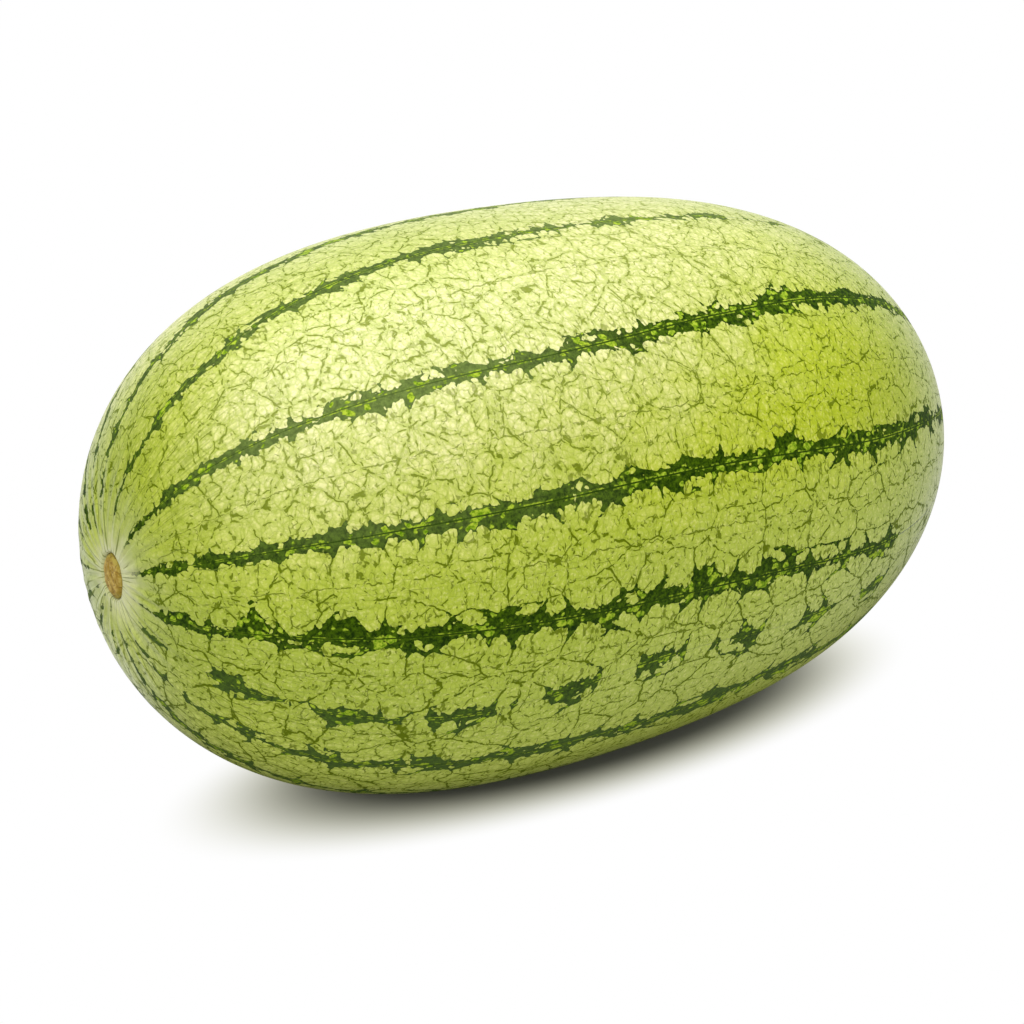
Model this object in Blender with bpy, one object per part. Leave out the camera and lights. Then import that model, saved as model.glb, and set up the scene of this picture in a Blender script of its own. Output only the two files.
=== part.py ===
"""A whole oblong watermelon, lying on its side on a small flat spot.

Metres, +Z up. The fruit's long axis runs along X, with the stem scar at -X and the
blossom scar at +X. The origin is under the middle of the fruit, on the surface it rests on.
"""

import math

import bmesh
import bpy

# Driving dimensions of the fruit.
LENGTH = 0.380  # from the stem end to the blossom end
WAIST_RADIUS = 0.1092  # at mid length
FLAT_SPOT_DEPTH = 0.0005  # how far the fruit is flattened where it rests

# How the outline departs from an ellipse, from -1 at the stem end to +1 at the blossom end.
LEAN = -0.0205  # the stem half is a little stouter than the blossom half
SHOULDER = 0.2562  # broad shoulders on both halves
SHOULDER_LEAN = -0.0434
TAPER = -0.0948  # takes the shoulders in again before the ends

# The corky scar where the stem came away, in a shallow dimple.
STEM_SCAR_RADIUS = 0.0081
STEM_SCAR_DOME = 0.0009
STEM_CREVICE_DEPTH = 0.0008
STEM_DIMPLE_DEPTH = 0.0022
STEM_DIMPLE_RADIUS = 0.021

# The small corky button where the flower fell off.
BLOSSOM_SCAR_RADIUS = 0.0045
BLOSSOM_SCAR_DOME = 0.0007
BLOSSOM_CREVICE_DEPTH = 0.0004
BLOSSOM_DIMPLE_DEPTH = 0.0015
BLOSSOM_DIMPLE_RADIUS = 0.016

CREVICE_WIDTH = 0.1  # of the scar's radius
SCAR_RINGS = (0.45, 0.85, 1.0, 1.2, 1.7)  # ring radii at each end, in scar radii

SEGMENTS = 72  # around the fruit
BODY_RINGS = 34  # between the rings of the two scars
WELD = 1e-6  # merge distance where the outline meets the axis

HALF_LENGTH = LENGTH / 2
STEM, BLOSSOM = -1, 1  # the two ends' directions along X


def outline_radius(station):
    """The fruit's radius at a station from -1, the stem end, to +1, the blossom end."""
    fullness = (
        1
        + LEAN * station
        + SHOULDER * station**2
        + SHOULDER_LEAN * station**3
        + TAPER * station**4
    )
    return WAIST_RADIUS * math.sqrt(max(0.0, 1 - station**2)) * fullness


def station_at_radius(radius, end):
    """The station near one end where the outline has this radius."""
    inner, outer = 0.8 * end, 1.0 * end
    for _ in range(60):
        middle = (inner + outer) / 2
        if outline_radius(middle) > radius:
            inner = middle
        else:
            outer = middle
    return (inner + outer) / 2


def end_relief(radius, scar_radius, dome, crevice_depth, dimple_depth, dimple_radius):
    """How far the surface near an end lies inside the plain outline, along the axis."""
    relief = dimple_depth * math.exp(-((radius / dimple_radius) ** 2))
    from_edge = (radius / scar_radius - 1) / CREVICE_WIDTH
    relief += crevice_depth * math.exp(-(from_edge**2))
    if radius < scar_radius:
        relief -= dome * (1 - (radius / scar_radius) ** 2)
    return relief


def stem_relief(radius):
    return end_relief(
        radius,
        STEM_SCAR_RADIUS,
        STEM_SCAR_DOME,
        STEM_CREVICE_DEPTH,
        STEM_DIMPLE_DEPTH,
        STEM_DIMPLE_RADIUS,
    )


def blossom_relief(radius):
    return end_relief(
        radius,
        BLOSSOM_SCAR_RADIUS,
        BLOSSOM_SCAR_DOME,
        BLOSSOM_CREVICE_DEPTH,
        BLOSSOM_DIMPLE_DEPTH,
        BLOSSOM_DIMPLE_RADIUS,
    )


def outline_stations():
    """Stations of every ring from pole to pole, close together at the two scars."""
    stem_side = [station_at_radius(STEM_SCAR_RADIUS * ring, STEM) for ring in SCAR_RINGS]
    blossom_side = [
        station_at_radius(BLOSSOM_SCAR_RADIUS * ring, BLOSSOM) for ring in SCAR_RINGS
    ]
    first, last = math.acos(-stem_side[-1]), math.acos(-blossom_side[-1])
    step = (last - first) / (BODY_RINGS + 1)
    body = [-math.cos(first + step * ring) for ring in range(1, BODY_RINGS + 1)]
    return [float(STEM)] + stem_side + body + blossom_side[::-1] + [float(BLOSSOM)]


def outline_point(station):
    """One point of the half outline, in the XZ plane, with the reliefs of both ends."""
    radius = outline_radius(station)
    relief = stem_relief(radius) if station < 0 else -blossom_relief(radius)
    return (station * HALF_LENGTH + relief, 0.0, radius)


def lathe_fruit(mesh_data):
    """Turns the half outline about the long axis into one closed skin."""
    mesh = bmesh.new()
    points = [mesh.verts.new(outline_point(station)) for station in outline_stations()]
    edges = [mesh.edges.new(pair) for pair in zip(points, points[1:])]
    bmesh.ops.spin(
        mesh,
        geom=points + edges,
        cent=(0, 0, 0),
        axis=(1, 0, 0),
        angle=2 * math.pi,
        steps=SEGMENTS,
        use_merge=True,
    )
    bmesh.ops.remove_doubles(mesh, verts=mesh.verts[:], dist=WELD)
    lowest = min(vert.co.z for vert in mesh.verts)
    floor = lowest + FLAT_SPOT_DEPTH
    flatten_below(mesh, floor)
    bmesh.ops.translate(mesh, verts=mesh.verts[:], vec=(0, 0, -floor))
    centre_on_x(mesh)
    bmesh.ops.recalc_face_normals(mesh, faces=mesh.faces[:])
    mesh.to_mesh(mesh_data)
    mesh.free()


def flatten_below(mesh, floor):
    """Cuts the skin level at this height and closes the cut with one flat face."""
    cut = bmesh.ops.bisect_plane(
        mesh,
        geom=mesh.verts[:] + mesh.edges[:] + mesh.faces[:],
        dist=WELD,
        plane_co=(0, 0, floor),
        plane_no=(0, 0, -1),
        clear_outer=True,
    )
    rim = [item for item in cut["geom_cut"] if isinstance(item, bmesh.types.BMEdge)]
    bmesh.ops.edgeloop_fill(mesh, edges=rim)


def centre_on_x(mesh):
    """Puts the middle of the fruit's length over the origin."""
    low = min(vert.co.x for vert in mesh.verts)
    high = max(vert.co.x for vert in mesh.verts)
    bmesh.ops.translate(mesh, verts=mesh.verts[:], vec=(-(low + high) / 2, 0, 0))


def rind_material():
    """Waxy yellow-green rind."""
    material = bpy.data.materials.new("rind")
    material.use_nodes = True
    shader = material.node_tree.nodes["Principled BSDF"]
    shader.inputs["Base Color"].default_value = (0.42, 0.50, 0.12, 1.0)
    shader.inputs["Roughness"].default_value = 0.38
    shader.inputs["Metallic"].default_value = 0.0
    return material


def make_watermelon():
    """The whole fruit as one solid."""
    mesh_data = bpy.data.meshes.new("watermelon")
    fruit = bpy.data.objects.new("watermelon", mesh_data)
    bpy.context.scene.collection.objects.link(fruit)
    lathe_fruit(mesh_data)
    mesh_data.materials.append(rind_material())
    mesh_data.shade_smooth()
    mesh_data.set_sharp_from_angle(angle=math.radians(40))
    return fruit


def main():
    for thing in list(bpy.data.objects):
        bpy.data.objects.remove(thing, do_unlink=True)
    make_watermelon()


main()
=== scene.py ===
"""A whole oblong watermelon with a striped rind, lying on its side on a pale surface.

Metres, +Z up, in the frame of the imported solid: the long axis runs along X, with the stem
scar at -X. Angles round the fruit count from the near side, 90 being the top.
"""

import math

import bmesh
import bpy
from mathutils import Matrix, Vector, noise


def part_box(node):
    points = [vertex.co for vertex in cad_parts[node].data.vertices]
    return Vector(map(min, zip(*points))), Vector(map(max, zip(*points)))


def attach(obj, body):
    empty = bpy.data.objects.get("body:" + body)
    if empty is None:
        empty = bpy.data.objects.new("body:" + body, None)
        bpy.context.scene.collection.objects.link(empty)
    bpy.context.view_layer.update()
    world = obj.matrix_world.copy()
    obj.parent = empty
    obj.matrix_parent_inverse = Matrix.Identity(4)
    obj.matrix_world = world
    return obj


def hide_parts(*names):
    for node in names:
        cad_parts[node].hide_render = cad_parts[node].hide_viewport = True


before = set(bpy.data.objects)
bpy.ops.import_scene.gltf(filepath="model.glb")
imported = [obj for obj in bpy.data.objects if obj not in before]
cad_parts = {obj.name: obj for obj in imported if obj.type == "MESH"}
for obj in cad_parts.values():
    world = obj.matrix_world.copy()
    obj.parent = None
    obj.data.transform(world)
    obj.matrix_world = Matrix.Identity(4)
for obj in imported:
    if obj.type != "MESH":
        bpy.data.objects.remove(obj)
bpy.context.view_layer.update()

LOW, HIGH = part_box("watermelon")

# The outline, which departs from an ellipse by these shares from the stem to the blossom end.
LEAN = -0.0205
SHOULDER = 0.2562
SHOULDER_LEAN = -0.0434
TAPER = -0.0948

# The scars and the dimples they sit in.
STEM_SCAR_RADIUS = 0.0081
STEM_SCAR_DOME = 0.0009
STEM_DIMPLE_DEPTH = 0.0022
STEM_DIMPLE_RADIUS = 0.021
BLOSSOM_SCAR_RADIUS = 0.0045
BLOSSOM_SCAR_DOME = 0.0007
BLOSSOM_DIMPLE_DEPTH = 0.0015
BLOSSOM_DIMPLE_RADIUS = 0.016
STEM_SOCKET_DEPTH = 0.0022
BLOSSOM_SOCKET_DEPTH = 0.0016
SCAR_SLIMNESS = 0.14  # how much narrower than tall the stem scar is

# Sizes taken from the solid's box.
MAX_RADIUS = (HIGH.y - LOW.y) / 2
WAIST_RADIUS = MAX_RADIUS / 1.0004  # at mid length, just past the widest place
AXIS_HEIGHT = HIGH.z - MAX_RADIUS
STEM_SINK = STEM_DIMPLE_DEPTH - STEM_SCAR_DOME
BLOSSOM_SINK = BLOSSOM_DIMPLE_DEPTH - BLOSSOM_SCAR_DOME
HALF_LENGTH = (HIGH.x - LOW.x + STEM_SINK + BLOSSOM_SINK) / 2
CENTRE_X = (HIGH.x + LOW.x + BLOSSOM_SINK - STEM_SINK) / 2

MM = 1000.0  # the patterns on the rind are drawn in millimetres


# Node trees ---------------------------------------------------------------------------------


class Wire:
    """A node's output. Arithmetic on it adds Math nodes, so a pattern reads as an expression."""

    def __init__(self, web, socket):
        self.web = web
        self.socket = socket

    def __add__(self, other):
        return self.web.math("ADD", self, other)

    def __radd__(self, other):
        return self.web.math("ADD", other, self)

    def __sub__(self, other):
        return self.web.math("SUBTRACT", self, other)

    def __rsub__(self, other):
        return self.web.math("SUBTRACT", other, self)

    def __mul__(self, other):
        return self.web.math("MULTIPLY", self, other)

    def __truediv__(self, other):
        return self.web.math("DIVIDE", self, other)

    def __pow__(self, other):
        return self.web.math("POWER", self, other)

    def __neg__(self):
        return self.web.math("MULTIPLY", self, -1.0)

    def __abs__(self):
        return self.web.math("ABSOLUTE", self)

    def out(self, name):
        """Another output of the same node."""
        return Wire(self.web, self.socket.node.outputs[name])


# The colour sockets of a Mix node, which has several of each name.
MIX_FACTOR, MIX_ONE, MIX_OTHER, MIX_RESULT = 0, 6, 7, 2


class Web:
    """A node tree being drawn. Every node comes from add()."""

    def __init__(self, tree):
        self.tree = tree

    def add(self, kind, settings=None, inputs=None, output=0):
        """A node of this type: its settings first, then its sockets' values or links."""
        node = self.tree.nodes.new(kind)
        for name, value in (settings or {}).items():
            if name == "curve_points":
                shape_curve(node.mapping, value)
            else:
                setattr(node, name, value)
        for name, value in (inputs or {}).items():
            if isinstance(value, Wire):
                self.tree.links.new(value.socket, node.inputs[name])
            else:
                node.inputs[name].default_value = value
        return Wire(self, node.outputs[output] if node.outputs else None)

    def math(self, operation, *values):
        inputs = dict(enumerate(values))
        return self.add("ShaderNodeMath", {"operation": operation}, inputs)

    def vector_math(self, operation, *values, output=0):
        inputs = dict(enumerate(values))
        return self.add("ShaderNodeVectorMath", {"operation": operation}, inputs, output)

    def smaller(self, one, other):
        return self.math("MINIMUM", one, other)

    def larger(self, one, other):
        return self.math("MAXIMUM", one, other)

    def clamp(self, value):
        return self.smaller(self.larger(value, 0.0), 1.0)

    def ease(self, value, low, high):
        """0 below low, 1 above high, smooth between them."""
        return self.add(
            "ShaderNodeMapRange",
            {"interpolation_type": "SMOOTHSTEP"},
            {"Value": value, "From Min": low, "From Max": high},
        )

    def combine(self, x, y, z):
        return self.add("ShaderNodeCombineXYZ", inputs={0: x, 1: y, 2: z})

    def split(self, vector):
        """The vector's X, Y and Z."""
        parts = self.add("ShaderNodeSeparateXYZ", inputs={0: vector})
        return parts, parts.out("Y"), parts.out("Z")

    def grain(self, where, size, detail=2.0, roughness=0.5):
        """Soft noise from about 0 to 1, with features of this size."""
        return self.add(
            "ShaderNodeTexNoise",
            inputs={"Vector": where, "Scale": 1 / size, "Detail": detail, "Roughness": roughness},
        )

    def cells(self, where, pitch, feature="F1"):
        """Cell pattern of this pitch: the distance to a cell's centre or to its edge."""
        shares = self.add(
            "ShaderNodeTexVoronoi",
            {"feature": feature},
            {"Vector": where, "Scale": 1 / pitch},
            "Distance",
        )
        return shares * pitch

    def blend(self, factor, one, other):
        """Colour one where the factor is 0 and the other where it is 1."""
        inputs = {MIX_FACTOR: factor, MIX_ONE: one, MIX_OTHER: other}
        return self.add("ShaderNodeMix", {"data_type": "RGBA"}, inputs, MIX_RESULT)


def shape_curve(mapping, points):
    """Gives a float curve these points and takes its other ones away."""
    curve = mapping.curves[0]
    for place, value in points[1:-1]:
        curve.points.new(place, value)
    curve.points[0].location = points[0]
    curve.points[-1].location = points[-1]
    mapping.update()


def colour(red, green, blue):
    """A linear colour from the three everyday 0 to 255 values."""
    shares = [value / 255 for value in (red, green, blue)]
    linear = [s / 12.92 if s <= 0.04045 else ((s + 0.055) / 1.055) ** 2.4 for s in shares]
    return (*linear, 1.0)


def add_object(name, data):
    """An object that shows this mesh or camera in the scene."""
    thing = bpy.data.objects.new(name, data)
    bpy.context.scene.collection.objects.link(thing)
    return thing


# Rind shape ---------------------------------------------------------------------------------

# Each stripe follows a vein and has a boldness, a reach, a route and its widths above and below
# the vein. A route is the vein's angle at places from the stem end, 0, to the blossom end, 1.
# Boldness 1 is a full stripe, and less thins it to a row of patches. A stripe fades out where
# its reach ends. Widths are in millimetres, and less than 0 leaves a gap.
PLAIN_WIDTH = (
    (0, 0), (0.05, 2), (0.12, 6), (0.2, 4.5), (0.45, 5), (0.62, 4.5), (0.75, 5.5), (1, 2),
)
FINE_WIDTH = ((0, 0), (0.08, 1), (0.15, 3.5), (0.4, 4.5), (0.75, 4), (1, 2))
VEINS = {
    "high": (
        1.0, 1.0,
        ((0, 116), (0.08, 108), (0.18, 102.5), (0.4, 97.5), (0.7, 99), (1, 100)),
        FINE_WIDTH, FINE_WIDTH,
    ),
    "crown": (
        0.95, 1.0,
        ((0, 92), (0.06, 83), (0.17, 79.5), (0.3, 77.5), (0.8, 75.5), (1, 76)),
        ((0, 0), (0.05, 4), (0.09, 6), (0.12, 5), (0.2, 2), (0.24, 4.5), (0.3, 1.5), (0.42, 4),
         (0.5, 3), (0.57, 1), (0.6, -2), (0.8, -2), (1, -2)),
        ((0, 0), (0.05, 4), (0.09, 7), (0.18, 7), (0.22, 6), (0.3, 3), (0.37, 6.5), (0.43, 5),
         (0.5, 1), (0.58, 0), (0.6, -2), (0.8, -2), (1, -2)),
    ),
    "shoulder": (
        1.0, 1.0,
        ((0, 52), (0.1, 50), (0.2, 46.5), (0.3, 44.5), (0.4, 43.8), (0.55, 45.8), (0.7, 47.5),
         (1, 47)),
        ((0, 0), (0.04, 3), (0.08, 6), (0.12, 6), (0.17, 3), (0.24, 3), (0.28, 2.5), (0.33, 4.5),
         (0.45, 4), (0.55, 4), (0.6, 6), (0.63, 14), (0.66, 5), (0.695, 5), (0.71, 12),
         (0.725, 5), (0.77, 4), (1, 2)),
        ((0, 0), (0.04, 4), (0.09, 9), (0.15, 8), (0.2, 5), (0.26, 8.5), (0.32, 4), (0.4, 6),
         (0.56, 7), (0.65, 4), (0.71, 8), (0.77, 4), (1, 2)),
    ),
    "middle": (
        1.0, 1.0,
        ((0, 19), (0.1, 18.5), (0.3, 17.3), (0.5, 17), (0.6, 15.5), (0.68, 14.4), (0.8, 15),
         (1, 17)),
        ((0, 0), (0.04, 4), (0.09, 5), (0.13, 7.5), (0.17, 4), (0.22, 6), (0.28, 3), (0.4, 2.5),
         (0.5, 5), (0.56, 6), (0.58, 12), (0.6, 5), (0.65, 4), (0.695, 5), (0.71, 13), (0.73, 5),
         (0.77, 4), (1, 2)),
        ((0, 0), (0.04, 5), (0.09, 8.5), (0.14, 6.5), (0.2, 4.5), (0.27, 6.5), (0.45, 5.5),
         (0.53, 3.5), (0.6, 5), (0.65, 8.5), (0.72, 7), (0.77, 4), (1, 2)),
    ),
    "belly": (
        1.0, 0.71,
        ((0, -19), (0.05, -13), (0.14, -6.4), (0.2, -5.5), (0.4, -5.5), (0.55, -6.8), (0.7, -10.3),
         (1, -11)),
        ((0, 0), (0.05, 3), (0.066, 6), (0.08, 30), (0.094, 5), (0.11, 2), (0.124, 4), (0.137, 40),
         (0.15, 4), (0.165, 3), (0.182, 7), (0.198, 34), (0.214, 8), (0.25, 7), (0.3, 5), (0.38, 3),
         (0.42, 3.5), (0.46, 4), (0.48, 20), (0.5, 4), (0.54, 3), (0.558, 10), (0.58, 3), (0.63, 3),
         (0.68, 2), (1, 0)),
        ((0, 0), (0.05, 6), (0.1, 10), (0.16, 4), (0.22, 7), (0.28, 2.5), (0.35, 5), (0.4, 6),
         (0.47, 2.5), (0.53, 4.5), (0.6, 4), (0.68, 2), (1, 0)),
    ),
    "patches": (
        0.35, 0.73,
        ((0, -38), (0.12, -29), (0.21, -27), (0.29, -25.5), (0.36, -22.5), (0.46, -19),
         (0.6, -21.3), (1, -23)),
        ((0, -3), (0.08, -2), (0.11, 11.5), (0.2, 10), (0.28, 10.5), (0.36, 9.5), (0.45, 8.5),
         (0.6, 6.5), (0.66, 3), (1, 0)),
        ((0, -3), (0.06, 4), (0.11, 7), (0.2, 10.5), (0.28, 8), (0.36, 9.5), (0.45, 8), (0.52, 8.5),
         (0.6, 7.5), (0.66, 3), (1, 0)),
    ),
    "flank": (
        0.95, 1.0,
        ((0, -62), (0.1, -52), (0.2, -45.5), (0.3, -42), (0.4, -40), (0.5, -39), (0.6, -37),
         (0.7, -39), (1, -40)),
        ((0, -3), (0.1, -2), (0.13, 0), (0.18, 4), (0.22, 2), (0.27, 4), (0.33, 6), (0.4, 3),
         (0.45, 6), (0.52, 6), (0.565, -1), (0.61, 7), (0.7, 5), (1, 2)),
        ((0, -3), (0.1, -2), (0.13, 0), (0.18, 3), (0.22, 8), (0.28, 3), (0.33, 5), (0.38, 9.5),
         (0.43, 3), (0.48, 6), (0.53, 8), (0.565, 1), (0.62, 5), (1, 2)),
    ),
    "keel": (
        0.95, 1.0, ((0, -84), (0.1, -76), (0.2, -66.5), (0.35, -63), (0.6, -60), (1, -63)),
        FINE_WIDTH, PLAIN_WIDTH,
    ),
    "under": (
        0.5, 0.8, ((0, -104), (0.15, -99), (0.4, -88), (0.7, -86), (1, -90)),
        PLAIN_WIDTH, PLAIN_WIDTH,
    ),
    "back_keel": (
        0.95, 1.0, ((0, -128), (0.15, -122), (0.4, -113), (0.7, -112), (1, -114)),
        FINE_WIDTH, PLAIN_WIDTH,
    ),
    "back_flank": (
        1.0, 1.0, ((0, -152), (0.15, -146), (0.4, -139), (0.7, -138), (1, -136)),
        PLAIN_WIDTH, FINE_WIDTH,
    ),
    "back_belly": (
        1.0, 1.0, ((0, -174), (0.15, -170), (0.4, -165), (0.7, -167), (1, -164)),
        FINE_WIDTH, PLAIN_WIDTH,
    ),
    "back_middle": (
        1.0, 1.0, ((0, 164), (0.15, 166), (0.4, 170), (0.7, 167), (1, 171)),
        PLAIN_WIDTH, PLAIN_WIDTH,
    ),
    "back_shoulder": (
        1.0, 1.0, ((0, 145), (0.15, 142), (0.4, 146), (0.7, 148), (1, 146)),
        PLAIN_WIDTH, FINE_WIDTH,
    ),
    "back_crown": (
        1.0, 1.0, ((0, 132), (0.15, 124), (0.4, 122), (0.7, 121), (1, 122)),
        FINE_WIDTH, PLAIN_WIDTH,
    ),
}
WIDTH_FLOOR = -3.0  # the least width that a width curve can give, in millimetres
WIDTH_SPAN = 48.0  # from the least to the greatest width

# Fine seams run between the stripes, with only a broken line along them.
SEAMS = {
    "high_seam": ((0, 104), (0.08, 97), (0.15, 93.5), (0.3, 89), (0.45, 87.5), (1, 87)),
    "crown_seam": ((0, 72), (0.06, 66), (0.15, 63.5), (0.35, 63), (0.7, 61.5), (1, 62)),
    "shoulder_seam": (
        (0, 36), (0.05, 34), (0.2, 32.5), (0.32, 30.5), (0.5, 29.5), (0.6, 31), (1, 31),
    ),
    "middle_seam": ((0, 1), (0.1, 5), (0.2, 7), (0.35, 6.5), (0.5, 5.5), (0.65, 3.5), (1, 3)),
    "belly_seam": ((0, -28), (0.15, -16.5), (0.25, -14.5), (0.4, -13.2), (0.55, -15.5), (1, -16)),
    "patch_seam": ((0, -52), (0.15, -35), (0.25, -31.5), (0.4, -28.5), (0.6, -28), (1, -30)),
    "flank_seam": ((0, -74), (0.12, -63), (0.3, -53), (0.6, -50), (1, -51)),
    "keel_seam": ((0, -95), (0.2, -82), (0.5, -75), (1, -76)),
    "under_seam": ((0, -116), (0.2, -108), (0.5, -101), (1, -102)),
    "back_keel_seam": ((0, -140), (0.2, -132), (0.5, -126), (1, -125)),
    "back_flank_seam": ((0, -163), (0.2, -157), (0.5, -152), (1, -150)),
    "back_belly_seam": ((0, 175), (0.2, 178), (0.5, 181.5), (1, 183)),
    "back_middle_seam": ((0, 154), (0.2, 155), (0.5, 158), (1, 158)),
    "back_shoulder_seam": ((0, 138), (0.2, 133), (0.5, 134), (1, 134)),
    "back_crown_seam": ((0, 124), (0.2, 114), (0.5, 110), (1, 110)),
}
WANDER = 30.0  # degrees; no vein strays further from its first angle

RINGS = 300
SEGMENTS = 288
END_CROWDING = 0.6  # how much closer the rings are at the two ends
OUTLINE_POINTS = 700
WELD = 1e-6

# Relief of the body, in metres.
SWELL = 0.0006
SWELL_SIZE = 0.16
PLEAT_DEPTH = 0.00035
PLEAT_COUNT = 27.0

LEAST_GIRTH = 0.02  # keeps the girth above 0 at the poles
SKIN_SHARE = 0.45  # how far places follow the skin's own length, the rest being plain X


def vein_curve(route):
    """A vein's route as a float curve from 0 to 1, with 0.5 for its first angle."""
    first = route[0][1]
    return [(place, 0.5 + (angle - first) / (2 * WANDER)) for place, angle in route]


def rind_inputs(tree):
    """The tree's named sizes, and the values the modifier gets for them."""
    sizes = {
        "Half length": HALF_LENGTH,
        "Waist radius": WAIST_RADIUS,
        "Axis height": AXIS_HEIGHT,
        "Centre X": CENTRE_X,
        "Stem socket radius": STEM_SCAR_RADIUS,
        "Stem socket depth": STEM_SOCKET_DEPTH,
        "Stem dimple depth": STEM_DIMPLE_DEPTH,
        "Stem dimple radius": STEM_DIMPLE_RADIUS,
        "Blossom socket radius": BLOSSOM_SCAR_RADIUS,
        "Blossom socket depth": BLOSSOM_SOCKET_DEPTH,
        "Blossom dimple depth": BLOSSOM_DIMPLE_DEPTH,
        "Blossom dimple radius": BLOSSOM_DIMPLE_RADIUS,
        "Swell": SWELL,
        "Pleat depth": PLEAT_DEPTH,
    }
    for name in sizes:
        tree.interface.new_socket(name=name, in_out="INPUT", socket_type="NodeSocketFloat")
    return sizes


def fullness(station):
    """The radius as a share of an ellipse's, for a station from -1 at the stem to 1."""
    return 1 + station * (
        LEAN + station * (SHOULDER + station * (SHOULDER_LEAN + station * TAPER))
    )


def outline_curve(web, sizes):
    """The half outline from the stem end to the blossom end, as a curve in the XZ plane."""
    line = web.add("GeometryNodeCurvePrimitiveLine", inputs={"End": (1, 0, 0)})
    fine = web.add("GeometryNodeResampleCurve", inputs={"Curve": line, "Count": OUTLINE_POINTS})
    turn = web.split(web.add("GeometryNodeInputPosition"))[0] * math.pi
    station = -web.math("COSINE", turn)
    radius = sizes["Waist radius"] * web.math("SINE", turn) * fullness(station)
    place = web.combine(station * sizes["Half length"], 0.0, radius)
    return web.add("GeometryNodeSetPosition", inputs={"Geometry": fine, "Position": place})


def dimple(web, radius, depth, dimple_radius):
    """How far a dimple takes the surface in, along the axis."""
    share = radius / dimple_radius
    return depth * web.math("EXPONENT", -(share * share))


def socket_step(web, radius, depth, socket_radius):
    """The seat of a scar: a step down just inside its edge, so that a crevice shows round it."""
    lip = web.ease(radius, socket_radius * 0.93, socket_radius * 1.12)
    return depth * (1 - lip)


def off_route(web, route, along, angle):
    """Distance round the fruit from a route, as at mid length. It grows towards the top."""
    curve = web.add("ShaderNodeFloatCurve", {"curve_points": vein_curve(route)}, {"Value": along})
    vein_angle = math.radians(route[0][1]) + (curve - 0.5) * math.radians(2 * WANDER)
    return web.math("WRAP", angle - vein_angle, math.pi, -math.pi) * WAIST_RADIUS


def width_at(web, widths, along):
    """A stripe's width on one side of its vein, in millimetres."""
    points = [(place, (width - WIDTH_FLOOR) / WIDTH_SPAN) for place, width in widths]
    curve = web.add("ShaderNodeFloatCurve", {"curve_points": points}, {"Value": along})
    return curve * WIDTH_SPAN + WIDTH_FLOOR


def nearest_vein(web, along, angle):
    """Distance to the nearest vein, signed, with its boldness, reach and width on this side."""
    best = None
    for boldness, reach, route, above, below in VEINS.values():
        gap = off_route(web, route, along, angle)
        upper, lower = width_at(web, above, along), width_at(web, below, along)
        width = lower + web.math("GREATER_THAN", gap, 0.0) * (upper - lower)
        best = nearer(web, best, (gap, boldness, reach, width))
    return best


def nearest_seam(web, along, angle):
    """Distance to the nearest seam, signed."""
    best = None
    for route in SEAMS.values():
        best = nearer(web, best, (off_route(web, route, along, angle),))
    return best[0]


def nearer(web, old, new):
    """Whichever of two lists starts with the smaller distance."""
    if old is None:
        return new
    closer = web.math("LESS_THAN", abs(new[0]), abs(old[0]))
    return tuple(one + closer * (other - one) for one, other in zip(old, new))


def store(web, geometry, name, value, kind="FLOAT", domain="POINT"):
    """The geometry with this named value on it."""
    return web.add(
        "GeometryNodeStoreNamedAttribute",
        {"data_type": kind, "domain": domain},
        {"Geometry": geometry, "Name": name, "Value": value},
    )


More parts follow.
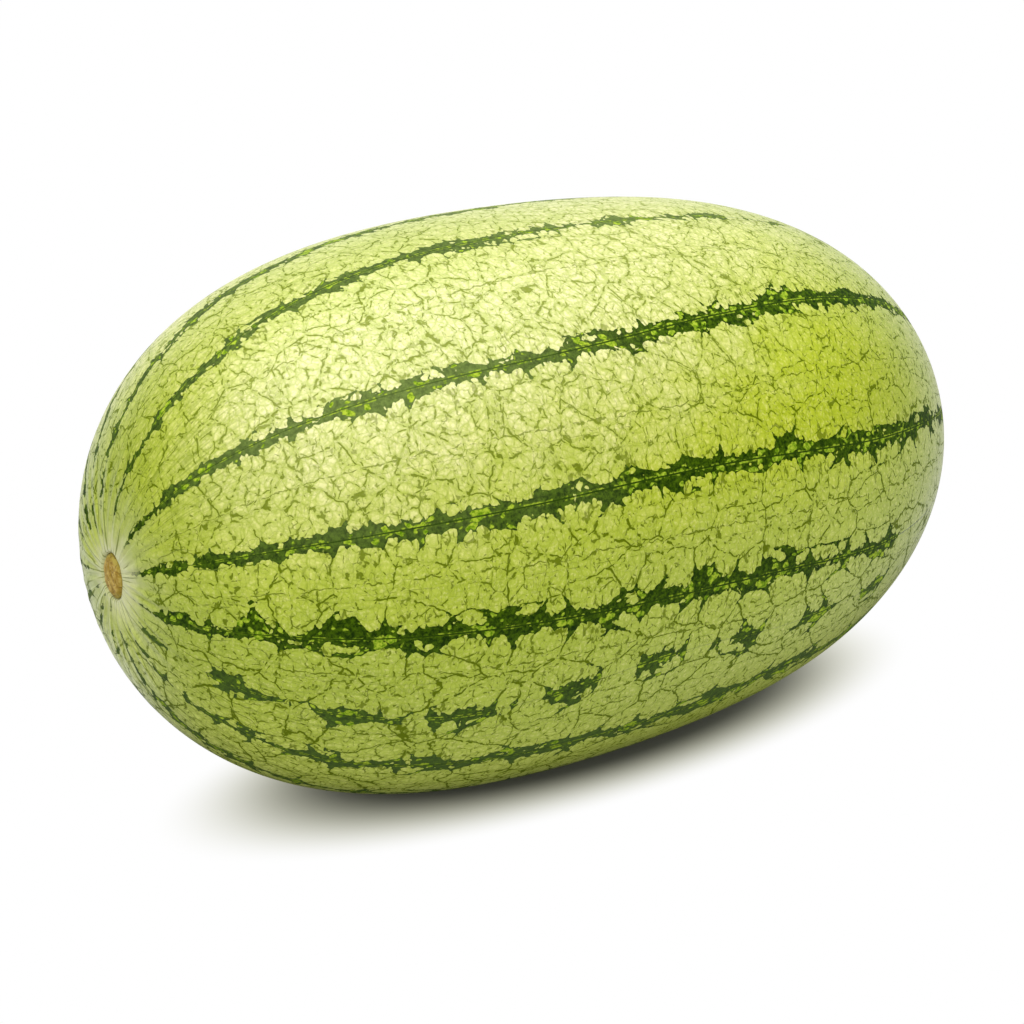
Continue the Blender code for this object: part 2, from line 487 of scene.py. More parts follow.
def rind_tree(material):
    """A tree that turns the half outline about the long axis into the whole rind."""
    tree = bpy.data.node_groups.new("rind_tree", "GeometryNodeTree")
    tree.interface.new_socket(
        name="Geometry", in_out="OUTPUT", socket_type="NodeSocketGeometry"
    )
    values = rind_inputs(tree)
    web = Web(tree)
    group = web.add("NodeGroupInput")
    sizes = {name: group.out(name) for name in values}

    outline = outline_curve(web, sizes)
    total = web.add("GeometryNodeCurveLength", inputs={"Curve": outline})
    sheet = web.add(
        "GeometryNodeMeshGrid",
        inputs={"Size X": 1.0, "Size Y": 1.0, "Vertices X": RINGS, "Vertices Y": SEGMENTS + 1},
    )
    across = web.split(web.add("GeometryNodeInputPosition"))
    even, turn = across[0] + 0.5, across[1] + 0.5
    wave = web.math("SINE", even * (2 * math.pi)) / (2 * math.pi)
    along = web.clamp(even - wave * END_CROWDING)
    angle = (turn - 0.25) * (2 * math.pi)
    sample = web.add(
        "GeometryNodeSampleCurve",
        {"mode": "FACTOR", "data_type": "FLOAT", "use_all_curves": True},
        {"Curves": outline, "Factor": along},
        "Position",
    )
    x, _, radius = web.split(sample)

    # Named values are stored on the flat sheet, before its points move.
    shaped = store(web, sheet, "along", along)
    shaped = store(web, shaped, "angle_cos", web.math("COSINE", angle))
    shaped = store(web, shaped, "angle_sin", web.math("SINE", angle))
    uv = web.combine(turn, along, 0.0)
    shaped = store(web, shaped, "OFBake", uv, "FLOAT2", "CORNER")
    gap, boldness, reach, half_width = nearest_vein(web, along, angle)
    seam_gap = nearest_seam(web, along, angle)
    girth = web.larger(radius / WAIST_RADIUS, LEAST_GIRTH)
    named = {
        "vein_side": gap,
        "vein_gap": abs(gap),
        "seam_side": seam_gap,
        "seam_gap": abs(seam_gap),
        "boldness": boldness,
        "half_width": half_width,
        "reach": reach,
        "girth": girth,
        "from_stem": along * total,
    }
    for name, value in named.items():
        shaped = store(web, shaped, name, value)
    plain_length = x + sizes["Half length"]
    skin_length = (along * total) * SKIN_SHARE + plain_length * (1 - SKIN_SHARE)
    skin = web.combine(
        skin_length,
        web.math("COSINE", angle) * WAIST_RADIUS,
        web.math("SINE", angle) * WAIST_RADIUS,
    )
    unrolled = web.combine(skin_length, angle * WAIST_RADIUS, 0.0)
    shaped = store(web, shaped, "unrolled", unrolled, "FLOAT_VECTOR", "CORNER")

    # The body swells and sinks a little, and the skin is pleated round the stem.
    swell = (web.grain(skin, SWELL_SIZE, 1.0) - 0.5) * 2 * sizes["Swell"]
    pleat_wave = web.math("SINE", angle * PLEAT_COUNT + web.grain(skin, 0.02, 1.0) * 9.0)
    rise = web.ease(radius, 0.008, 0.014) * (1 - web.ease(radius, 0.02, 0.05))
    pleats = pleat_wave * rise * sizes["Pleat depth"]
    full = radius + swell * web.ease(radius, 0.03, 0.08)

    stem_in = dimple(web, radius, sizes["Stem dimple depth"], sizes["Stem dimple radius"])
    slimness = 1 - web.math("COSINE", angle) ** 2.0 * SCAR_SLIMNESS
    stem_in = stem_in + socket_step(
        web, radius, sizes["Stem socket depth"], sizes["Stem socket radius"] * slimness
    )
    blossom_in = dimple(
        web, radius, sizes["Blossom dimple depth"], sizes["Blossom dimple radius"]
    )
    blossom_in = blossom_in + socket_step(
        web, radius, sizes["Blossom socket depth"], sizes["Blossom socket radius"]
    )
    at_stem = web.math("LESS_THAN", along, 0.5)
    inward = at_stem * (stem_in + pleats) - (1 - at_stem) * blossom_in
    height = sizes["Axis height"] + full * web.math("SINE", angle)
    place = web.combine(
        sizes["Centre X"] + x + inward,
        -full * web.math("COSINE", angle),
        web.larger(height, 0.0),
    )
    shaped = web.add("GeometryNodeSetPosition", inputs={"Geometry": shaped, "Position": place})
    inputs = {"Geometry": shaped, "Distance": WELD}
    shaped = web.add("GeometryNodeMergeByDistance", inputs=inputs)
    shaped = web.add("GeometryNodeSetShadeSmooth", inputs={"Geometry": shaped})
    shaped = web.add("GeometryNodeRealizeInstances", inputs={"Geometry": shaped})
    inputs = {"Geometry": shaped, "Material": material}
    shaped = web.add("GeometryNodeSetMaterial", inputs=inputs)
    web.add("NodeGroupOutput", inputs={"Geometry": shaped})
    return tree, values


def made_by_nodes(name, tree, values):
    """Runs a tree and keeps its result as a plain mesh at the origin."""
    seed = add_object(name + "_seed", bpy.data.meshes.new(name + "_seed"))
    modifier = seed.modifiers.new("shape", "NODES")
    modifier.node_group = tree
    for item in tree.interface.items_tree:
        if item.in_out == "INPUT":
            modifier[item.identifier] = values[item.name]
    evaluated = seed.evaluated_get(bpy.context.evaluated_depsgraph_get())
    mesh = bpy.data.meshes.new_from_object(evaluated)
    mesh.name = name
    bpy.data.objects.remove(seed)
    return add_object(name, mesh)


def face_outwards(piece):
    """Turns every face of a closed piece outwards, and leaves its named values alone."""
    mesh = bmesh.new()
    mesh.from_mesh(piece.data)
    bmesh.ops.recalc_face_normals(mesh, faces=mesh.faces[:])
    if mesh.calc_volume(signed=True) < 0:
        bmesh.ops.reverse_faces(mesh, faces=mesh.faces[:])
    mesh.to_mesh(piece.data)
    mesh.free()


def make_rind():
    tree, values = rind_tree(rind_material())
    rind = made_by_nodes("rind", tree, values)
    face_outwards(rind)
    return rind


# Rind finish --------------------------------------------------------------------------------

# Millimetres from one cell of a pattern to the next, coarse patterns first.
CLUSTER_PITCH = 16.0
LOBE_PITCH = 6.6
SCALLOP_PITCH = 3.6
ISLAND_PITCH = 2.9
PIT_PITCH = 2.4
KNOB_PITCH = 1.5

STRIPE_SHARE = 0.37  # of its listed width that a stripe has before cusps are added to it
PATCH_PITCH = 0.0815  # from one patch of a thin stripe to the next, as a share of the length
FIRST_PATCH = 0.125
RAY_COUNT = 40

# Skin between the stripes.
SHADY = colour(164, 178, 62)
SUNNY = colour(176, 186, 46)
PATCHY = colour(164, 180, 32)
# Painted highlight: a pale cream that stands in for the soft reflection of the overhead light on
# the upper side.
HIGHLIGHT_PAINT = colour(221, 216, 162)
CREST = colour(150, 160, 80)
# Painted shade: the skin darkens towards the blossom end, where less light falls.
BLOSSOM_END_SHADE = colour(116, 128, 36)
# Painted light: the underside lightened as if lit from the floor below.
UNDERSIDE_LIGHT_PAINT = colour(206, 218, 102)
BETWEEN_KNOBS = colour(150, 168, 10)
# Painted highlight: pale flecks that stand in for glints on the tops of the knobs.
GLINT_PAINT = colour(222, 220, 136)
SOFT_EDGE = colour(146, 164, 6)
STREAK = colour(118, 134, 26)
NEAR_STEM = colour(118, 132, 48)
CLOSE_TO_STEM = colour(172, 180, 104)
HALO = colour(198, 198, 154)

# Lines and stripes.
CRACKLE = colour(78, 94, 0)
RAY = colour(96, 110, 44)
VEIN = colour(34, 56, 2)
DEEP_DARK = colour(14, 36, 0)
DEEP_LIGHT = colour(66, 92, 4)
# Painted light: the dark of the stripes turns a paler grey-green on the underside, as if lit from
# the floor.
STRIPE_UNDERSIDE_LIGHT_PAINT = colour(92, 112, 60)
# Painted highlight over the dark stripes on the upper side.
STRIPE_HIGHLIGHT_PAINT = colour(116, 132, 70)
LEAF_DARK = colour(86, 122, 6)
LEAF_LIGHT = colour(158, 178, 50)


def new_material(name):
    """A material with only its shader, and the web to draw its nodes in."""
    material = bpy.data.materials.new(name)
    material.use_nodes = True
    return material, Web(material.node_tree)


def shader_of(material):
    return material.node_tree.nodes["Principled BSDF"]


def connect(material, sockets):
    """Links or sets the shader's sockets."""
    shader = shader_of(material)
    for name, value in sockets.items():
        if isinstance(value, Wire):
            material.node_tree.links.new(value.socket, shader.inputs[name])
        else:
            shader.inputs[name].default_value = value


def named_value(web, name, output="Fac"):
    """A value that the rind's tree stored under this name."""
    settings = {"attribute_name": name, "attribute_type": "GEOMETRY"}
    return web.add("ShaderNodeAttribute", settings, None, output)


def in_millimetres(web, place):
    return web.vector_math("MULTIPLY", place, (MM, MM, MM))


def centred(web, tint, reach):
    """A noise colour as a sideways shift of up to half this reach."""
    shift = web.vector_math("SUBTRACT", tint, (0.5, 0.5, 0.5))
    return web.vector_math("MULTIPLY", shift, (reach, reach, reach))


def off_line(web, name, side):
    """Distance in millimetres from the nearest line of a kind, with no jump between lines."""
    side, gap = side * MM, named_value(web, name + "_gap") * MM
    return side + web.ease(gap, 3.0, 5.0) * (gap - side)


class Skin:
    """What the rind's patterns are drawn from. Its distances are in millimetres."""

    def __init__(self, web):
        self.web = web
        self.place = in_millimetres(web, web.add("ShaderNodeTexCoord", output="Object"))
        self.unrolled = in_millimetres(web, named_value(web, "unrolled", "Vector"))
        self.boldness = named_value(web, "boldness")
        self.half_width = named_value(web, "half_width")
        self.reach = named_value(web, "reach")
        self.along = named_value(web, "along")
        self.girth = named_value(web, "girth")
        self.up = named_value(web, "angle_sin")  # 1 at the top, -1 underneath
        self.facing = named_value(web, "angle_cos")  # 1 on the near side, -1 on the far side
        self.from_stem = named_value(web, "from_stem") * MM
        self.off_vein = off_line(web, "vein", abs(named_value(web, "vein_side")))
        self.off_seam = off_line(web, "seam", named_value(web, "seam_side"))
        self.low = 1 - web.ease(self.up - self.along * 0.5, -0.6, 0.4)  # 1 on the underside
        self.slow = self.grain(14.0) - 0.5  # coarse noise about 0
        self.quick = self.grain(4.5, 1.0) - 0.5  # finer noise about 0
        self.mottle = self.patches(1.3, 0.35, 0.65, 3.0, 0.65)

        # Edges wander at three scales, so that no cell has a straight side.
        wide_sway = centred(web, self.grain(12.0, 1.0).out("Color"), 5.0)
        self.fine_sway = centred(web, self.grain(2.2, 1.0).out("Color"), 1.5)
        tiny_sway = centred(web, self.grain(1.2, 1.0).out("Color"), 0.5)
        lobes_at = web.vector_math("ADD", self.place, wide_sway)
        scallops_at = web.vector_math("ADD", lobes_at, self.fine_sway)
        clusters_at = web.vector_math("MULTIPLY", scallops_at, (0.85, 1.0, 1.0))
        cracks_at = web.vector_math("MULTIPLY", scallops_at, (1.2, 1.0, 1.0))
        self.knobs_at = web.vector_math("ADD", lobes_at, tiny_sway)
        self.cluster_edge = web.cells(clusters_at, CLUSTER_PITCH, "DISTANCE_TO_EDGE")
        self.lobe_edge = web.cells(cracks_at, LOBE_PITCH, "DISTANCE_TO_EDGE")
        self.scallop_edge = web.cells(scallops_at, SCALLOP_PITCH, "DISTANCE_TO_EDGE")
        self.scallop = web.cells(scallops_at, SCALLOP_PITCH)
        self.knob = web.cells(self.knobs_at, KNOB_PITCH)
        self.knobbly = (self.knob - 0.6) * 0.5

    def grain(self, size, detail=2.0, roughness=0.5):
        return self.web.grain(self.place, size, detail, roughness)

    def patches(self, size, low, high, detail=2.0, roughness=0.5):
        """1 in patches of about this size and 0 between them."""
        return self.web.ease(self.grain(size, detail, roughness), low, high)


def outside_stripes(skin):
    """Distance outside the nearest stripe, with its patches and cusps. It is less than 0 inside."""
    web, along = skin.web, skin.along
    turns = (along - FIRST_PATCH) * (2 * math.pi / PATCH_PITCH)
    gaps = 0.5 - web.math("COSINE", turns) * 0.5
    thinning = (1 - skin.boldness) * gaps * 14.0
    thinning = thinning + web.ease(along, skin.reach - 0.02, skin.reach + 0.01) * 9.0
    thinning = thinning + (1 - web.ease(skin.from_stem, 12.0, 26.0)) * 4.0
    edge = skin.half_width * (STRIPE_SHARE + skin.slow * 0.36 + skin.quick * 0.3) - thinning
    cusps = (1 - web.ease(skin.cluster_edge, 0.0, 1.5)) * 2.6
    cusps = cusps + (1 - web.ease(skin.cluster_edge, 0.8, 3.6))
    spikes = cusps * (1 + skin.low) + (1 - web.ease(skin.lobe_edge, 0.0, 1.3)) * 1.6
    return (skin.off_vein - edge - spikes) * web.larger(skin.girth, 0.3)


def dark_stripes(skin, outside):
    """The dark of the stripes. Pale scallops press into it from outside."""
    web = skin.web
    plump = skin.scallop_edge * 0.8 + (2.1 - skin.scallop) * 0.35
    pull = outside * 0.7 + web.smaller(outside, 0.0) * 0.6
    return 1 - web.ease(plump + pull - skin.knobbly - 0.2, -0.12, 0.12)


def light_islands(skin, outside):
    """Light green islands inside the dark border, and a light channel along the vein."""
    web = skin.web
    islands_at = web.vector_math("MULTIPLY", skin.knobs_at, (0.65, 1.0, 1.0))
    size = skin.patches(9.0, 0.35, 0.65, 1.0) * 1.3 + 0.3
    radius = web.smaller((-0.3 - outside) * 1.1, size) - skin.knobbly * 0.9
    island = web.ease(radius - web.cells(islands_at, ISLAND_PITCH), -0.2, 0.2)
    channel = (1 - web.ease(skin.off_vein, 0.5, 1.1)) * skin.patches(2.6, 0.5, 0.6)
    return web.larger(island, channel * 0.8) * web.ease(skin.off_vein, 0.15, 0.4)


def vein_lines(skin):
    """The dark line of the vein, and broken light rails close on both sides of it."""
    web = skin.web
    width = 0.08 + skin.grain(3.0, 1.0) * 0.1
    vein = 1 - web.ease(skin.off_vein, width, width + 0.25)
    rail = web.ease(skin.off_vein, 0.2, 0.4) * (1 - web.ease(skin.off_vein, 0.45, 0.7))
    return vein, rail * skin.patches(7.0, 0.54, 0.62)


def crackle_lines(skin, outside):
    """Short strokes along the edges of lobes and their clusters, and a soft shade beside them."""
    web = skin.web
    stroke = 0.12 + skin.grain(1.8, 1.0) * 0.32

    def line(half_width, distance):
        return web.ease(half_width - distance, -0.1, 0.12)

    keep = web.ease(skin.grain(3.4) + skin.low * 0.08, 0.46, 0.56)
    cluster_line = line(keep * (stroke + skin.low * 0.04), skin.cluster_edge)
    cluster_soft = web.ease(keep * 0.3 - skin.cluster_edge, -1.3, 0.1)
    keep = skin.patches(2.8, 0.5, 0.6)
    lobe_line = line(keep * stroke, skin.lobe_edge)
    lobe_soft = web.ease(keep * 0.28 - skin.lobe_edge, -1.0, 0.1)
    scallop_line = line(skin.patches(2.2, 0.59, 0.68) * stroke, skin.scallop_edge)

    # Spurs run across the stripes' direction, and the more so beside the stripes.
    upright = web.vector_math("ADD", skin.unrolled, skin.fine_sway)
    upright = web.vector_math("MULTIPLY", upright, (1.0, 0.3, 1.0))
    spur = abs(web.grain(upright, 3.4, 1.0) - 0.5) * 7.0
    keep = skin.patches(3.8, 0.5, 0.62, 1.0) * (1 - web.ease(outside, 3.0, 9.0) * 0.8)
    spur_line = line(keep * web.ease(skin.girth, 0.5, 0.8) * stroke, spur)

    wobble = (skin.grain(4.0) - 0.5) * 5.0
    keep = skin.patches(3.4, 0.42, 0.56)
    seam_line = web.ease(keep * 0.34 - abs(skin.off_seam + wobble), -0.12, 0.12)

    lines = web.larger(cluster_line, web.larger(lobe_line * 0.9, seam_line * 0.9))
    lines = web.larger(lines, web.larger(scallop_line * 0.75, spur_line * 0.8))
    soft = (1 - web.ease(skin.scallop_edge, 0.05, 0.6)) * 0.36
    soft = web.larger(soft, web.larger(cluster_soft, lobe_soft) * 0.55)
    return lines * web.ease(skin.from_stem, 14.0, 32.0), soft


def stem_rays(skin):
    """Fine lines that run out from the stem scar, more of them and longer on the underside."""
    web = skin.web
    drift_at = web.vector_math("MULTIPLY", skin.unrolled, (1.0, 0.5, 1.0))
    drift = web.grain(drift_at, 20.0) - 0.5
    pitch = 2 * math.pi * WAIST_RADIUS * MM / RAY_COUNT
    phase = web.math("FRACT", web.split(skin.unrolled)[1] / pitch + drift * 3.0)
    off_ray = abs(phase - 0.5) * skin.girth * pitch
    keep_at = web.vector_math("MULTIPLY", skin.unrolled, (1.0, 2.4, 1.0))
    keep = web.grain(keep_at, 22.0) - skin.up * 0.05 - skin.facing * 0.05
    fading = web.ease(skin.from_stem + skin.up * 30.0, 35.0, 105.0)
    keep = web.ease(keep, 0.44, 0.56) * (1 - fading)
    return web.ease(keep * 0.26 - off_ray, -0.1, 0.14)


def painted_highlight_mask(skin):
    """Painted highlight: where the upper side is paled to stand in for the soft reflection of the
    light overhead, more so towards the stem end.
    """
    web, along, up = skin.web, skin.along, skin.up
    start = 0.38 + web.ease(along, 0.34, 0.76) * 0.6
    highlight_paint = web.ease(up + skin.slow * 0.5 - start, -0.36, 0.36) * web.ease(along, 0.05, 0.2)
    return highlight_paint * (1 - web.ease(up, 0.86, 0.99) * (1 - web.ease(along, 0.35, 0.5)) * 0.45)


def ground_colour(skin, highlight_paint, soft_edges):
    """The skin between the stripes and under the crackle, with a painted highlight on the upper
    side, painted light on the underside and painted shade towards the blossom end.
    """
    web, along, up, from_stem = skin.web, skin.along, skin.up, skin.from_stem
    ground = web.blend(web.ease(up + skin.slow * 0.6, -0.25, 0.45), SHADY, SUNNY)
    ground = web.blend(skin.patches(55.0, 0.35, 0.65) * 0.4, ground, PATCHY)
    # Painted highlight: the upper side paled towards cream.
    ground = web.blend(highlight_paint * 0.85, ground, HIGHLIGHT_PAINT)
    ground = web.blend(web.ease(up, 0.92, 1.0) * 0.3, ground, CREST)
    # Painted shade towards the blossom end.
    ground = web.blend(web.ease(along, 0.6, 0.85) * 0.8, ground, BLOSSOM_END_SHADE)
    # Painted light on the underside, as if from the floor below.
    underside_light_paint = (1 - web.ease(up, -0.9, -0.4)) * (1 - web.ease(along, 0.3, 0.6) * 0.6)
    ground = web.blend(underside_light_paint, ground, UNDERSIDE_LIGHT_PAINT)

    between = web.ease(skin.knob + (skin.mottle - 0.5) * 0.8, 0.4, 1.0)
    ground = web.blend(between * 0.4, ground, BETWEEN_KNOBS)
    # Painted glints scattered over the skin.
    ground = web.blend(skin.patches(1.1, 0.5, 0.66) * 0.35, ground, GLINT_PAINT)
    ground = web.blend(soft_edges, ground, SOFT_EDGE)
    streaks = web.vector_math("MULTIPLY", skin.unrolled, (0.16, 1.0, 1.0))
    streaks = web.ease(web.grain(streaks, 1.7), 0.46, 0.62)
    high_streaks = (1 - web.ease(from_stem, 50.0, 110.0)) * web.ease(up, 0.3, 0.8)
    low_streaks = (1 - web.ease(from_stem, 80.0, 200.0)) * skin.low * 0.6
    streaks = streaks * web.larger(high_streaks, low_streaks)
    ground = web.blend(streaks * 0.6, ground, STREAK)

    # The skin dulls towards the stem and pales close to it, under the stripes.
    ground = web.blend((1 - web.ease(from_stem, 30.0, 80.0)) * 0.25, ground, NEAR_STEM)
    return web.blend((1 - web.ease(from_stem, 16.0, 44.0)) * 0.4, ground, CLOSE_TO_STEM)


def rind_material():
    """Pale lobed skin, dark stripes with a fine vein, and a crackle of olive lines."""
    material, web = new_material("rind_skin")
    skin = Skin(web)
    outside = outside_stripes(skin)
    dark = dark_stripes(skin, outside)
    islands = light_islands(skin, outside)
    vein, rail = vein_lines(skin)
    crackle, soft_edges = crackle_lines(skin, outside)
    rays = stem_rays(skin)
    pits = (1 - web.ease(web.cells(skin.knobs_at, PIT_PITCH), 0.2, 0.4)) * 0.6
    pits = pits * skin.patches(3.0, 0.5, 0.62, 1.0)
    # Painted highlight on the upper side, standing in for the soft reflection of the light
    # overhead.
    highlight_paint = painted_highlight_mask(skin)

    painted = ground_colour(skin, highlight_paint, soft_edges)
    # The crackle fades under the painted highlight.
    painted = web.blend(web.larger(crackle * (0.92 - highlight_paint * 0.3), pits), painted, CRACKLE)
    shades = skin.patches(1.6, 0.3, 0.75, 3.0, 0.7)
    deep = web.blend(shades, DEEP_DARK, DEEP_LIGHT)
    # Painted light from the floor on the stripes' underside.
    deep = web.blend((1 - web.ease(skin.up, -0.75, 0.0)) * 0.35, deep, STRIPE_UNDERSIDE_LIGHT_PAINT)
    # Painted highlight over the stripes: it lifts their dark on the upper side, towards the stem
    # end and along the top.
    clear = web.ease(skin.along, 0.28, 0.52) * (1 - web.ease(skin.up, 0.8, 0.95))
    stripe_highlight_paint = highlight_paint * (1 - clear)
    deep = web.blend(stripe_highlight_paint * (0.4 + shades * 0.3), deep, STRIPE_HIGHLIGHT_PAINT)
    leaf = web.blend(skin.mottle, LEAF_DARK, LEAF_LIGHT)
    painted = web.blend(dark, painted, deep)
    painted = web.blend(dark * islands, painted, leaf)
    painted = web.blend(rail * skin.boldness * 0.4, painted, leaf)
    # The vein fades under the painted highlight.
    painted = web.blend(vein * skin.boldness * (0.9 - stripe_highlight_paint * 0.4), painted, VEIN)
    from_scar = skin.from_stem + skin.quick * 10.0 - skin.facing * 3.0
    painted = web.blend((1 - web.ease(from_scar, 8.0, 21.0)) * 0.65, painted, HALO)
    painted = web.blend(rays * 0.7, painted, RAY)

    cracked = web.larger(web.larger(crackle, dark), rays)
    relief = (1 - web.ease(skin.knob, 0.0, 1.1)) * 0.3 + skin.grain(1.4) * 0.5
    relief = relief - cracked * 0.7
    bump = web.add(
        "ShaderNodeBump", inputs={"Strength": 0.7, "Distance": 0.0003, "Height": relief}
    )
    connect(
        material,
        {
            "Base Color": painted,
            "Roughness": 0.42 + skin.mottle * 0.06 + dark * 0.1,
            "Normal": bump,
            "IOR": 1.5,
            "Specular IOR Level": 0.03,
            "Coat Weight": 0.75 - cracked * 0.75,
            "Coat Roughness": 0.3,
        },
    )
    return material


# Scars --------------------------------------------------------------------------------------

SCAR_RINGS, SCAR_SEGMENTS = 16, 56
SCAR_THICKNESS = 0.0012
SCAR_ROUGHNESS = 0.00022
SCAR_GRAIN = 420.0  # bumps per metre
SCAR_RIM = 0.8  # the share of a scar's radius where it starts to turn down
SCAR_RIM_DROP = 0.0009
SCAR_BACK = 0.96  # of the front's radius


def scar_material(name, light, dark_tone, rim_tone, fleck):
    """Dry cork: fibrous, cracked and specked, and yellower towards its rim."""
    material, web = new_material(name)
    where = in_millimetres(web, web.add("ShaderNodeTexCoord", output="Object"))
    from_axis = web.vector_math("SUBTRACT", where, (0.0, 0.0, AXIS_HEIGHT * MM))
    from_axis = web.vector_math("MULTIPLY", from_axis, (0.0, 1.0, 1.0))
    out = web.vector_math("LENGTH", from_axis, output="Value")
    fibres = web.grain(where, 2.2, 4.0, 0.6)
    crack = 1 - web.ease(web.cells(where, 2.6, "DISTANCE_TO_EDGE"), 0.03, 0.22)
    crack = crack * web.ease(web.grain(where, 1.8, 1.0), 0.42, 0.6)
    tone = web.blend(web.ease(fibres, 0.35, 0.65), dark_tone, light)
    rim = web.ease(out + (fibres - 0.5) * 3.0, 5.0, 7.6)
    tone = web.blend(rim * 0.6, tone, rim_tone)
    specks = web.ease(web.grain(where, 1.1), 0.66, 0.72)
    painted = web.blend(web.larger(crack * 0.6, specks), tone, fleck)
    bump = web.add(
        "ShaderNodeBump",
        inputs={"Strength": 0.8, "Distance": 0.0005, "Height": fibres - crack * 0.6},
    )
    connect(
        material,
        {
            "Base Color": painted,
            "Roughness": 0.6 + fibres * 0.2,
            "Normal": bump,
            "Specular IOR Level": 0.2,
        },
    )
    return material


def outline_radius(station):
    """The plain outline's radius at a station."""
    return WAIST_RADIUS * math.sqrt(max(0.0, 1 - station**2)) * fullness(station)


def outline_depth(radius, end):
    """How far the plain outline lies inside its end, where it has this radius."""
    inner, outer = 0.8 * end, end
    for _ in range(50):
        middle = (inner + outer) / 2
        if outline_radius(middle) > radius:
            inner = middle
        else:
            outer = middle
    return (1 - abs(inner + outer) / 2) * HALF_LENGTH


def make_scar(name, end, radius, slimness, dome, dimple_depth, dimple_radius, material):
    """A domed button of cork, rough on top and closed behind, seated in its socket."""
    mesh = bmesh.new()
    pole_x = CENTRE_X + end * HALF_LENGTH

    def point(share, angle, behind):
        r = radius * share * (1 - slimness * math.cos(angle) ** 2)
        y, z = -r * math.cos(angle), r * math.sin(angle)
        plain = outline_depth(r, end) + dimple_depth * math.exp(-((r / dimple_radius) ** 2))
        bumps = noise.fractal(Vector((y, z, end * 0.1)) * SCAR_GRAIN, 0.6, 2.0, 4)
        rough = bumps * SCAR_ROUGHNESS
        crown = dome * (1 - share**2)
        rim = SCAR_RIM_DROP * max(0.0, share - SCAR_RIM) / (1 - SCAR_RIM)
        inward = plain - crown - rough + rim + behind
        return Vector((pole_x - end * inward, y, AXIS_HEIGHT + z))

    def ring(share, behind):
        angles = [2 * math.pi * k / SCAR_SEGMENTS for k in range(SCAR_SEGMENTS)]
        return [mesh.verts.new(point(share, angle, behind)) for angle in angles]

    tip = mesh.verts.new(point(0.0, 0.0, 0.0))
    loops = [ring((k + 1) / SCAR_RINGS, 0.0) for k in range(SCAR_RINGS)]
    loops.append(ring(SCAR_BACK, SCAR_THICKNESS))
    back = mesh.verts.new(point(0.0, 0.0, SCAR_THICKNESS))
    for k in range(SCAR_SEGMENTS):
        after = (k + 1) % SCAR_SEGMENTS
        mesh.faces.new((tip, loops[0][k], loops[0][after]))
        mesh.faces.new((back, loops[-1][after], loops[-1][k]))
        for inner, outer in zip(loops, loops[1:]):
            mesh.faces.new((inner[k], outer[k], outer[after], inner[after]))
    data = bpy.data.meshes.new(name)
    mesh.to_mesh(data)
    mesh.free()
    data.materials.append(material)
    data.shade_smooth()
    scar = add_object(name, data)
    face_outwards(scar)
    return scar


def make_scars():
    stem_cork = scar_material(
        "stem_cork",
        colour(186, 160, 84),
        colour(144, 116, 34),
        colour(138, 132, 44),
        colour(96, 64, 14),
    )
    blossom_cork = scar_material(
        "blossom_cork",
        colour(160, 138, 92),
        colour(118, 98, 58),
        colour(132, 128, 74),
        colour(60, 46, 26),
    )
    stem = make_scar(
        "stem_scar",
        -1,
        STEM_SCAR_RADIUS,
        SCAR_SLIMNESS,
        STEM_SCAR_DOME,
        STEM_DIMPLE_DEPTH,
        STEM_DIMPLE_RADIUS,
        stem_cork,
    )
    blossom = make_scar(
        "blossom_scar",
        1,
        BLOSSOM_SCAR_RADIUS,
        0.0,
        BLOSSOM_SCAR_DOME,
        BLOSSOM_DIMPLE_DEPTH,
        BLOSSOM_DIMPLE_RADIUS,
        blossom_cork,
    )
    return stem, blossom


# Stage --------------------------------------------------------------------------------------

VIEW_AZIMUTH = math.radians(-37.69)
VIEW_ELEVATION = math.radians(17.09)
VIEW_DISTANCE = 4.278  # in half lengths
AIM_RIGHT, AIM_UP = -0.0681, -0.0664  # where the view centres, in half lengths
LENS = 72.21
SENSOR = 36.0

# The lights' directions and strengths.
OVERHEAD_LIGHT = 3.9
KEY_FROM = Vector((-0.68, -0.68, 0.3)).normalized()
KEY_LIGHT = 1.1
BEHIND = (0.61, 0.79, 0.0)
BACK_LIGHT = 0.85
EVEN_LIGHT = 0.15

FLOOR_REACH = 12.0  # metres from the middle to each side
FLOOR_CORNERS = ((-1, -1), (1, -1), (1, 1), (-1, 1))
FLOOR_GREY = (0.38, 0.38, 0.37, 1.0)
# Painted tint: the yellowish edge of the painted shadow, as if the fruit bounced its colour there.
SHADE_EDGE = (1.0, 1.0, 0.75, 1.0)
WHITE = (1.0, 1.0, 1.0, 1.0)

# The painted shadow under the fruit: the ellipse in which the floor shows its own shading, fading
# to white glow at its edge, longer on the side away from the light.
SHADE_MIDDLE = (0.016, 0.005, 0.0)
SHADE_REACH = (0.191, 0.076, 1.0)


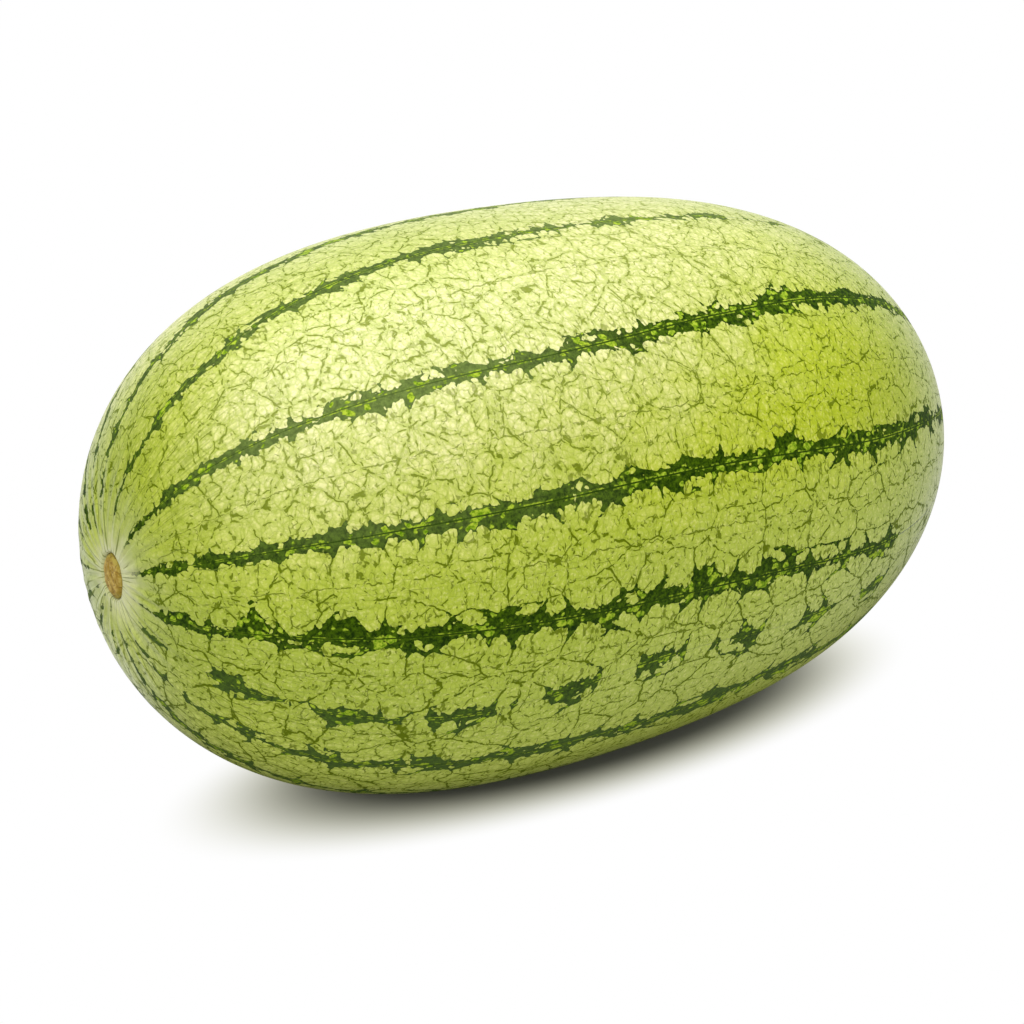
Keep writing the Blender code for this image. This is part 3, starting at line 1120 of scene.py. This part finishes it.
def make_floor():
    """A pale floor that turns to an even white glow away from the fruit, with a painted shadow:
    only inside an ellipse round the fruit does it show its own shading. The glow also lights the
    fruit, as painted bounce light.
    """
    data = bpy.data.meshes.new("floor")
    corners = [(x * FLOOR_REACH, y * FLOOR_REACH, 0) for x, y in FLOOR_CORNERS]
    data.from_pydata(corners, [], [(0, 1, 2, 3)])
    floor = add_object("floor", data)
    material, web = new_material("floor_white")
    connect(material, {"Base Color": FLOOR_GREY, "Roughness": 0.9, "Specular IOR Level": 0.0})
    where = web.add("ShaderNodeTexCoord", output="Object")
    from_middle = web.vector_math("SUBTRACT", where, SHADE_MIDDLE)
    spread = web.vector_math("DIVIDE", from_middle, SHADE_REACH)
    distance = web.vector_math("LENGTH", spread, output="Value")
    lit = web.ease(distance, 0.54, 1.0)
    seen = web.add("ShaderNodeLightPath", output="Is Camera Ray")
    bounced = web.ease(distance, 0.7, 1.9)
    # The glow is tinted yellow at the painted shadow's edge.
    tint = web.blend(lit, SHADE_EDGE, WHITE)
    strength = bounced + seen * (1 - bounced)
    glow = web.add("ShaderNodeEmission", None, {"Color": tint, "Strength": strength})
    near = Wire(web, shader_of(material).outputs["BSDF"])
    mixed = web.add("ShaderNodeMixShader", None, {0: lit, 1: near, 2: glow})
    output = material.node_tree.nodes["Material Output"]
    material.node_tree.links.new(mixed.socket, output.inputs["Surface"])
    data.materials.append(material)


def make_camera():
    back = Vector(
        (
            math.sin(VIEW_AZIMUTH) * math.cos(VIEW_ELEVATION),
            -math.cos(VIEW_AZIMUTH) * math.cos(VIEW_ELEVATION),
            math.sin(VIEW_ELEVATION),
        )
    )
    right = Vector((math.cos(VIEW_AZIMUTH), math.sin(VIEW_AZIMUTH), 0))
    up = back.cross(right)
    middle = Vector((CENTRE_X, 0, AXIS_HEIGHT))
    aim = middle + (AIM_RIGHT * right + AIM_UP * up) * HALF_LENGTH
    place = middle + back * VIEW_DISTANCE * HALF_LENGTH
    data = bpy.data.cameras.new("camera")
    data.lens = LENS
    data.sensor_width = SENSOR
    data.clip_start = 0.01
    camera = add_object("camera", data)
    camera.location = place
    camera.rotation_euler = (aim - place).to_track_quat("-Z", "Y").to_euler()
    bpy.context.scene.camera = camera


def make_lights():
    """A large soft light overhead, a weaker one from the viewer's left, and one from behind."""
    world = bpy.data.worlds.new("studio")
    bpy.context.scene.world = world
    world.use_nodes = True
    web = Web(world.node_tree)
    direction = web.add("ShaderNodeTexCoord", output="Generated")
    overhead = web.ease(web.split(direction)[2], 0.62, 1.0)
    towards_key = web.vector_math("DOT_PRODUCT", direction, tuple(KEY_FROM), output="Value")
    key = web.ease(towards_key, 0.3, 0.95)
    away = web.vector_math("DOT_PRODUCT", direction, BEHIND, output="Value")
    back = web.ease(away, 0.35, 0.8)
    light = EVEN_LIGHT + overhead * OVERHEAD_LIGHT + key * KEY_LIGHT + back * BACK_LIGHT
    seen = web.add("ShaderNodeLightPath", output="Is Camera Ray")
    strength = light + seen * (1 - light)
    background = world.node_tree.nodes["Background"]
    world.node_tree.links.new(strength.socket, background.inputs["Strength"])
    background.inputs["Color"].default_value = WHITE
    bpy.context.scene.view_settings.view_transform = "Standard"


def main():
    make_camera()
    make_lights()
    make_floor()
    rind = make_rind()
    stem_scar, blossom_scar = make_scars()
    for piece, slot in ((rind, "rind"), (stem_scar, "scar_cork"), (blossom_scar, "scar_cork")):
        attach(piece, "root")
        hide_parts("watermelon")


main()
